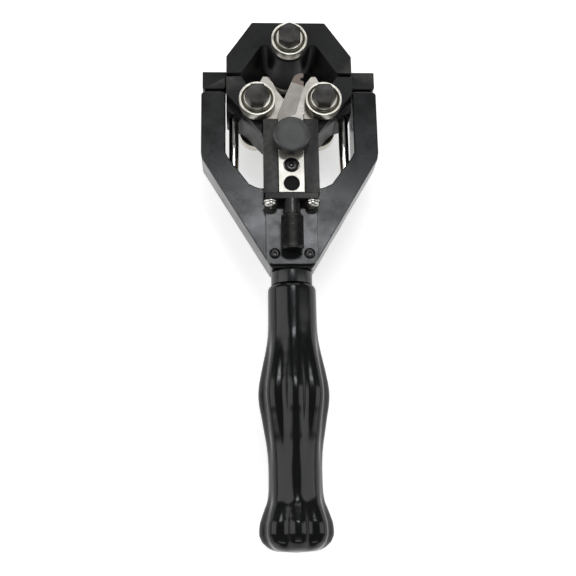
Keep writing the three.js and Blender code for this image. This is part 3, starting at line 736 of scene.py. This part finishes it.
grip_tree = patterned_tree("fluted grip", shares(1, GRIP_WIDE), shares(2, FLUTE_DEEP), flute_pattern,
                           smooth=True)
settle(patterned_piece("fluted_grip", grip_tree, along_y(0, GRIP_HIGH, TOOL_Z, -1), Length=GRIP_LONG,
                       Radius=GRIP_WIDE * MM, Depth=FLUTE_DEEP * MM, Starts=8.0, Lead=1.0,
                       Around=241, Along=200, Finish=GRIP_BLACK),
       GRIP_BLACK, "handle", "black_grip", "grip", smooth_to=50)


# %% [markdown]
# ## The knurled depth knob
# A knurl is pressed in by two crossing sets of slanted cuts, which leaves small pyramids, here
# about 1.4 mm apart. The knob's neck and end are plain, so the pattern's depth is zero there.

# %% Depth knob and its stem
KNOB_LOW, KNOB_HIGH = low_high("depth_knob", 1)
knob_long = KNOB_HIGH - KNOB_LOW
knob_mm = knob_long / MM
KNURL_RADIUS = 6.65
profile = [(0, 4.9), (0.5, 5.6), (1.4, 6.6), (20.2, KNURL_RADIUS), (21.2, 5.6), (21.4, 5.0), (knob_mm, 5.0)]
masks = [(0, 0), (1.3, 0), (2.0, 1), (19.4, 1), (20.1, 0), (knob_mm, 0)]
knurl_tree = patterned_tree("diamond knurl", [(a / knob_mm, r / KNURL_RADIUS) for a, r in profile],
                            [(a / knob_mm, d) for a, d in masks], knurl_pattern)
settle(patterned_piece("knurled_depth_knob", knurl_tree,
                       along_y(middle("depth_knob").x, KNOB_LOW, middle("depth_knob").z),
                       Length=knob_long, Radius=KNURL_RADIUS * MM, Depth=0.5 * MM, Starts=30.0,
                       Lead=1.4 * MM, Around=301, Along=300, Finish=KNURL_BLACK),
       KNURL_BLACK, "depth_setter", "knob_steel", "depth_knob", smooth_to=20)


# %% Lead screw and depth screw
def threaded(name, node, tree, radius_mm, depth_mm, lead_mm, finish, body, slot_name, around, along):
    low, high = low_high(node, 1)
    centre = middle(node)
    piece = patterned_piece(name, tree, along_y(centre.x, low, centre.z), Length=high - low,
                            Radius=radius_mm * MM, Depth=depth_mm * MM, Starts=1.0, Lead=lead_mm * MM,
                            Around=around, Along=along, Finish=finish)
    return settle(piece, finish, body, slot_name, node, smooth_to=35)


screw_mm = (low_high("lead_screw", 1)[1] - low_high("lead_screw", 1)[0]) / MM
steps = [(0, 7.6), (0.6, 8), (50.2, 8), (50.5, 6), (screw_mm - 1.2, 6), (screw_mm, 5)]
thread_from = [(0, 0), (54.4, 0), (55.2, 1), (screw_mm, 1)]
lead_tree = patterned_tree("trapezoid lead thread", [(a / screw_mm, r / 8) for a, r in steps],
                           [(a / screw_mm, d) for a, d in thread_from], thread_pattern)
threaded("lead_screw_thread", "lead_screw", lead_tree, 8, 1.3, 3, SCREW_STEEL, "handle",
         "satin_steel", 73, 420)
fine_tree = patterned_tree("fine thread", [(0, 1), (0.93, 1), (1, 0.8)], [(0, 1), (1, 1)], thread_pattern)
threaded("depth_screw_thread", "depth_screw", fine_tree, 2, 0.3, 0.7, BOLT_STEEL, "depth_setter",
         "satin_steel", 49, 200)


# %% [markdown]
# ## Screws, each made once and set in place by nodes
# A small tree puts one screw on each of a few points and makes the copies real. The socket
# screws have a hexagon hole, and the pan-head screws a cross recess: both are rings whose
# radius changes with the angle.

# %% Screw setting tree
def cross_recess(length, width):
    """Outline of a cross of two slots, as a function of the angle."""
    def reach(angle):
        best = 0.0
        for turn in (0.0, math.pi / 2):
            c, s = abs(math.cos(angle + turn)), abs(math.sin(angle + turn))
            best = max(best, length / c if length * s <= width * c else width / max(s, 1e-6))
        return best
    return reach


def setting_tree():
    tree = bpy.data.node_groups.new("screws on points", "GeometryNodeTree")
    for label, kind in (("Geometry", "NodeSocketGeometry"), ("Screw", "NodeSocketObject"),
                        ("Turn", "NodeSocketFloat"), ("Finish", "NodeSocketMaterial")):
        tree.interface.new_socket(label, in_out="INPUT", socket_type=kind)
    tree.interface.new_socket("Geometry", in_out="OUTPUT", socket_type="NodeSocketGeometry")
    size = add(tree, "NodeGroupInput").outputs
    points = add(tree, "GeometryNodeMeshToPoints", {"Mesh": size["Geometry"]})
    screw = add(tree, "GeometryNodeObjectInfo", {"Object": size["Screw"]})
    spin = add(tree, "ShaderNodeMath", {0: add(tree, "GeometryNodeInputIndex").outputs[0], 1: size["Turn"]},
               operation="MULTIPLY")
    turn = add(tree, "ShaderNodeCombineXYZ", {"Z": spin.outputs[0]})
    copies = add(tree, "GeometryNodeInstanceOnPoints", {"Points": points.outputs[0],
                                                        "Instance": screw.outputs["Geometry"],
                                                        "Rotation": turn.outputs[0]})
    real = add(tree, "GeometryNodeRealizeInstances", {"Geometry": copies.outputs[0]})
    final = add(tree, "GeometryNodeSetMaterial", {"Geometry": real.outputs[0], "Material": size["Finish"]})
    add(tree, "NodeGroupOutput", {"Geometry": final.outputs[0]})
    return tree


SETTING = setting_tree()
SCREW_TURN = 0.6


def set_screws(name, screw, heads, stand, finish, body, slot_name, nodes):
    """heads: head-top points in the screw's own lying-down frame; stand: the matrix that stands them up."""
    mesh = bpy.data.meshes.new(name)
    mesh.from_pydata([stand.inverted() @ h for h in heads], [], [])
    piece = new_piece(name, mesh)
    modifier = piece.modifiers.new("setting", "NODES")
    modifier.node_group = SETTING
    values = {"Screw": screw, "Turn": SCREW_TURN, "Finish": finish}
    for item in SETTING.interface.items_tree:
        if item.in_out == "INPUT" and item.name in values:
            modifier[item.identifier] = values[item.name]
    plain_mesh(piece, name)
    piece.data.transform(stand)
    bpy.data.objects.remove(screw)
    return settle(piece, finish, body, slot_name, *nodes, smooth_to=30)


def socket_screw(head_r, head_h, shank_r, length, key):
    socket = hexagon(key)
    return ring_piece("socket screw", [
        (0, -length), (shank_r - 0.3, -length), (shank_r, -length + 0.4), (shank_r, -head_h),
        (head_r - 0.15, -head_h), (head_r, -head_h + 0.15), (head_r, -0.45), (head_r - 0.12, -0.15),
        (head_r - 0.4, 0), (lambda a: socket(a) + 0.15, 0), (socket, -0.15), (socket, -head_h * 0.6),
        (0, -head_h * 0.75)], Vector((0, 0, 0)))


def head_top(node, axis, sign):
    point = middle(node)
    point[axis] = low_high(node, axis)[1 if sign > 0 else 0]
    return point


UPRIGHT = Matrix.Identity(4)
TO_HEAD = Matrix.Rotation(-math.pi / 2, 4, "X")
TO_GRIP = Matrix.Rotation(math.pi / 2, 4, "X")
cover_nodes = ["cover_screw_left", "cover_screw_right"]
set_screws("cover_screws", socket_screw(2.8, 1.2, 1.5, 9.2, 2.6), [head_top(n, 2, 1) for n in cover_nodes],
           UPRIGHT, SOCKET_BLACK, "frame", "dark_steel", cover_nodes)
ear_nodes = ["ear_screw_left", "ear_screw_right"]
set_screws("ear_screws", socket_screw(4.25, 5, 2.5, 29, 4), [head_top(n, 1, 1) for n in ear_nodes],
           TO_HEAD, SOCKET_BLACK, "frame", "dark_steel", ear_nodes)
set_screws("blade_bar_screw", socket_screw(4.2, 2.4, 2, 5.4, 3.2), [head_top("bar_screw", 2, 1)],
           UPRIGHT, SOCKET_BLACK, "blade_slider", "dark_steel", ["bar_screw"])
bar_top = low_high("blade_bar", 2)[1]
hole_at = head_top("bar_screw", 2, 1) + Vector((0, -11.8 * MM, 0))
hole_at.z = bar_top
# painted shade: a shallow cup in near-black matt stands in for the darkness of a deep hole
hole = [(0, -0.92), (4.65, -0.92), (4.65, -0.05), (4.3, -0.2), (4.1, -0.85), (0, -0.85)]
settle(ring_piece("empty_screw_hole", hole, hole_at),
       black_coating("painted shade of a deep screw hole", "#030303", "#070707", (0.8, 0.9)), "blade_slider", "dark_steel")
cross = cross_recess(1.75, 0.38)
pan = ring_piece("pan screw", [
    (0, -16.5), (1.6, -16.5), (2, -16), (2, -3), (3.85, -3), (4, -2.8), (4, -2.1), (3.85, -1.4), (3.4, -0.75),
    (2.9, -0.35), (2.3, -0.1), (lambda a: cross(a) + 0.08, -0.02), (cross, -0.15),
    (lambda a: cross(a) * 0.55, -1.6), (0, -1.8)], Vector((0, 0, 0)))
pan_nodes = ["end_plate_screw_left", "end_plate_screw_right"]
set_screws("end_plate_pan_screws", pan, [head_top(n, 1, -1) for n in pan_nodes], TO_GRIP, SCREW_STEEL,
           "carriage", "bright_steel", pan_nodes)
print("screws set:", len(cover_nodes + ear_nodes + pan_nodes) + 1)


# %% [markdown]
# ## The cutter
# The cutter is a flat ground blade. Its left flank is ground away to a long slanted facet that
# ends in the cutting edge, and the tip carries a second facet with a notch beside it. That
# tip facet is painted darker and browner as painted shade.

# %% Cutter blade with its ground facet
BLADE_LOW, BLADE_HIGH = low_high("cutter_blade", 2)
TIP_Y = low_high("cutter_blade", 1)[1]


def blade_point(x_mm, y_mm, z):
    """x from the tool's axis and y from the tip, both in millimetres."""
    return (x_mm * MM, TIP_Y + y_mm * MM, z)


# corners 4, 13, 14 and 15 of the outline bound the ground facet, and 4 to 13 the tip
FACET_TOP, FACET_FOOT, FACET_SLOPE = (8.3, -9.9), (3.0, -27.9), 0.18
OUTLINE = [(-7.4, -49.9), (7.4, -49.9), (7.4, -28.9), (8.3, -27.3), FACET_TOP, (8.3, -5.9), (6.4, -5.4),
           (6.4, -3.6), (8.3, -3.1), (8.3, -0.6), (7.6, 0), (5.4, 0), (2.6, -1.8), (0.8, -6.1),
           (-7.4, -26.0), (-7.4, -33.0)]


def facet_drop(x, y):
    """How far the ground flank lies below the flat top: 0.18 mm for each mm from its crease."""
    return FACET_SLOPE * (-0.9593 * (x - FACET_TOP[0]) + 0.2825 * (y - FACET_TOP[1]))


def tip_drop(x, y):
    return -0.1176 * (x - FACET_TOP[0]) + 0.16 * (y - FACET_TOP[1])


def paint_tip_shade(finish):
    """Paints shade on the tip's facet: darker and browner than the rest, up to its crease."""
    tree = finish.node_tree
    base = tree.nodes["Principled BSDF"].inputs["Base Color"]
    steel = base.links[0].from_socket
    place = add(tree, "ShaderNodeTexCoord").outputs["Object"]
    from_crease = add(tree, "ShaderNodeVectorMath", {0: place, 1: blade_point(*FACET_TOP, 0)},
                      operation="SUBTRACT")
    crease = Vector(OUTLINE[13]) - Vector(FACET_TOP)
    square_to_it = Vector((crease.y, -crease.x, 0)).normalized()
    past = add(tree, "ShaderNodeVectorMath", {0: from_crease.outputs[0], 1: square_to_it},
               operation="DOT_PRODUCT")
    share = add(tree, "ShaderNodeMapRange", {0: past.outputs["Value"], 1: 0.0, 2: 0.05 * MM})
    # painted shade: past the tip's crease the steel colour is mixed towards dark brown
    tint = add(tree, "ShaderNodeMix", {0: share.outputs[0], 6: steel, 7: linear("#625954")},
               data_type="RGBA")
    tree.links.new(tint.outputs[2], base)


def cutter():
    bm = bmesh.new()
    under = [bm.verts.new(blade_point(x, y, BLADE_LOW)) for x, y in OUTLINE]
    drops = [0] * 5 + [tip_drop(x, y) for x, y in OUTLINE[5:13]] + [facet_drop(x, y) for x, y in OUTLINE[13:]]
    top = [bm.verts.new(blade_point(x, y, BLADE_HIGH - d * MM)) for (x, y), d in zip(OUTLINE, drops)]
    foot = bm.verts.new(blade_point(*FACET_FOOT, BLADE_HIGH))
    heel = bm.verts.new(blade_point(*OUTLINE[15], BLADE_HIGH))
    bm.faces.new(list(reversed(under)))
    for i in range(15):
        bm.faces.new([under[i], under[i + 1], top[i + 1], top[i]])
    bm.faces.new([under[15], under[0], top[0], heel, top[15]])
    bm.faces.new([*top[0:5], foot, heel])
    bm.faces.new([top[4], top[13], top[14], top[15], foot])
    bm.faces.new(top[4:14])
    bm.faces.new([foot, top[15], heel])
    bmesh.ops.triangulate(bm, faces=[f for f in bm.faces if len(f.verts) > 4])
    bmesh.ops.recalc_face_normals(bm, faces=bm.faces)
    mesh = bpy.data.meshes.new("cutter")
    bm.to_mesh(mesh)
    bm.free()
    return new_piece("ground_cutter", mesh)


paint_tip_shade(BLADE_STEEL)
blade = cutter()
bevel = blade.modifiers.new("honed edges", "BEVEL")
bevel.width = 0.12 * MM
bevel.segments = 2
bevel.limit_method = "ANGLE"
bevel.angle_limit = math.radians(40)
bevel.use_clamp_overlap = False
settle(plain_mesh(blade, "ground_cutter"), BLADE_STEEL, "blade_slider", "blade_steel", "cutter_blade",
       smooth_to=4)
print("cutter from", round(BLADE_LOW / MM, 2), "to", round(BLADE_HIGH / MM, 2), "mm high")


# %% [markdown]
# ## Floor, lights and camera
# The tool lies on its back on a plain pale floor that glows a little, like a light table.
# Under the head a near-black disc without glow is painted on the floor as painted shade, so
# that the jaws' throat looks dark too. Big soft boxes stand round the tool so that black gloss
# has something to mirror, while straight above it is left darker. The camera looks down from
# the handle's side.

# %% Floor
UNDER_HEAD = (0.000, 0.144, 0.0)
FLOOR_GLOW, FADE = 0.5, 0.01
PAINTED_SHADE_REACH = 0.023


def pale_floor():
    finish, tree, shader = new_finish("matt pale studio floor with painted shade under the head")
    place = add(tree, "ShaderNodeTexCoord").outputs["Object"]
    grain = add(tree, "ShaderNodeTexNoise", {"Vector": place, "Scale": 400.0, "Detail": 3.0})
    tint = add(tree, "ShaderNodeMix", {0: grain.outputs[0], 6: linear("#f2f2f1"), 7: linear("#f8f8f7")},
               data_type="RGBA")
    # painted shade: inside a disc round the spot under the head the floor is near black and does not glow,
    # softened over FADE at its rim
    away = add(tree, "ShaderNodeVectorMath", {0: place, 1: UNDER_HEAD}, operation="DISTANCE")
    outside_painted_shade = add(tree, "ShaderNodeMapRange", {0: away.outputs["Value"], 1: PAINTED_SHADE_REACH, 2: PAINTED_SHADE_REACH + FADE})
    floor_with_painted_shade = add(tree, "ShaderNodeMix", {0: outside_painted_shade.outputs[0], 6: linear("#0c0c0c"), 7: tint.outputs[2]},
               data_type="RGBA")
    tree.links.new(floor_with_painted_shade.outputs[2], shader.inputs["Base Color"])
    glow = add(tree, "ShaderNodeMath", {0: outside_painted_shade.outputs[0], 1: FLOOR_GLOW}, operation="MULTIPLY")
    tree.links.new(glow.outputs[0], shader.inputs["Emission Strength"])
    shader.inputs["Roughness"].default_value = 0.9
    shader.inputs["Specular IOR Level"].default_value = 0.1
    shader.inputs["Emission Color"].default_value = linear("#ffffff")
    return finish


FLOOR_HALF = 12.0


def stage_floor():
    half = FLOOR_HALF
    mesh = bpy.data.meshes.new("floor")
    mesh.from_pydata([(-half, -half, 0), (half, -half, 0), (half, half, 0), (-half, half, 0)], [],
                     [(0, 1, 2, 3)])
    mesh.materials.append(pale_floor())
    return new_piece("studio_floor", mesh)


stage_floor()


# %% Soft boxes and sky
def soft_box(name, place, size, power, tint="#ffffff"):
    light = bpy.data.lights.new(name, "AREA")
    light.shape = "RECTANGLE"
    light.size, light.size_y = size
    light.energy = power
    light.color = linear(tint)[:3]
    box = bpy.data.objects.new(name, light)
    bpy.context.collection.objects.link(box)
    box.location = place
    aim = Vector((0, 0.03, 0.03)) - Vector(place)
    box.rotation_euler = aim.to_track_quat("-Z", "Y").to_euler()


soft_box("left box", (-1.0, 0.1, 0.75), (0.8, 1.3), 7.5)
soft_box("right box", (1.05, 0.0, 0.75), (0.6, 1.3), 5.5)
soft_box("head box", (0.1, 1.25, 0.95), (1.3, 0.6), 6)
soft_box("grip box", (0.0, -1.35, 0.8), (1.0, 0.4), 2.8)
soft_box("high box", (0.045, 0.3, 0.85), (0.24, 0.09), 1.1, "#f1f5fa")
sky = bpy.data.worlds.new("studio")
bpy.context.scene.world = sky
sky.use_nodes = True
sky.node_tree.nodes.clear()
glow = add(sky.node_tree, "ShaderNodeBackground", {"Color": linear("#f4f5f6"), "Strength": 0.24})
add(sky.node_tree, "ShaderNodeOutputWorld", {"Surface": glow.outputs[0]})


# %% Camera
CAMERA_AT = (-30.6, -156.3, 585.8)
CAMERA_TURN = (15.19, -2.667, -1.0387)
lens = bpy.data.cameras.new("camera")
lens.sensor_width = 36
lens.lens = 59.77
camera = bpy.data.objects.new("camera", lens)
bpy.context.collection.objects.link(camera)
camera.location = Vector(CAMERA_AT) * MM
camera.rotation_euler = [math.radians(a) for a in CAMERA_TURN]
bpy.context.scene.camera = camera
bpy.context.scene.view_settings.view_transform = "Standard"
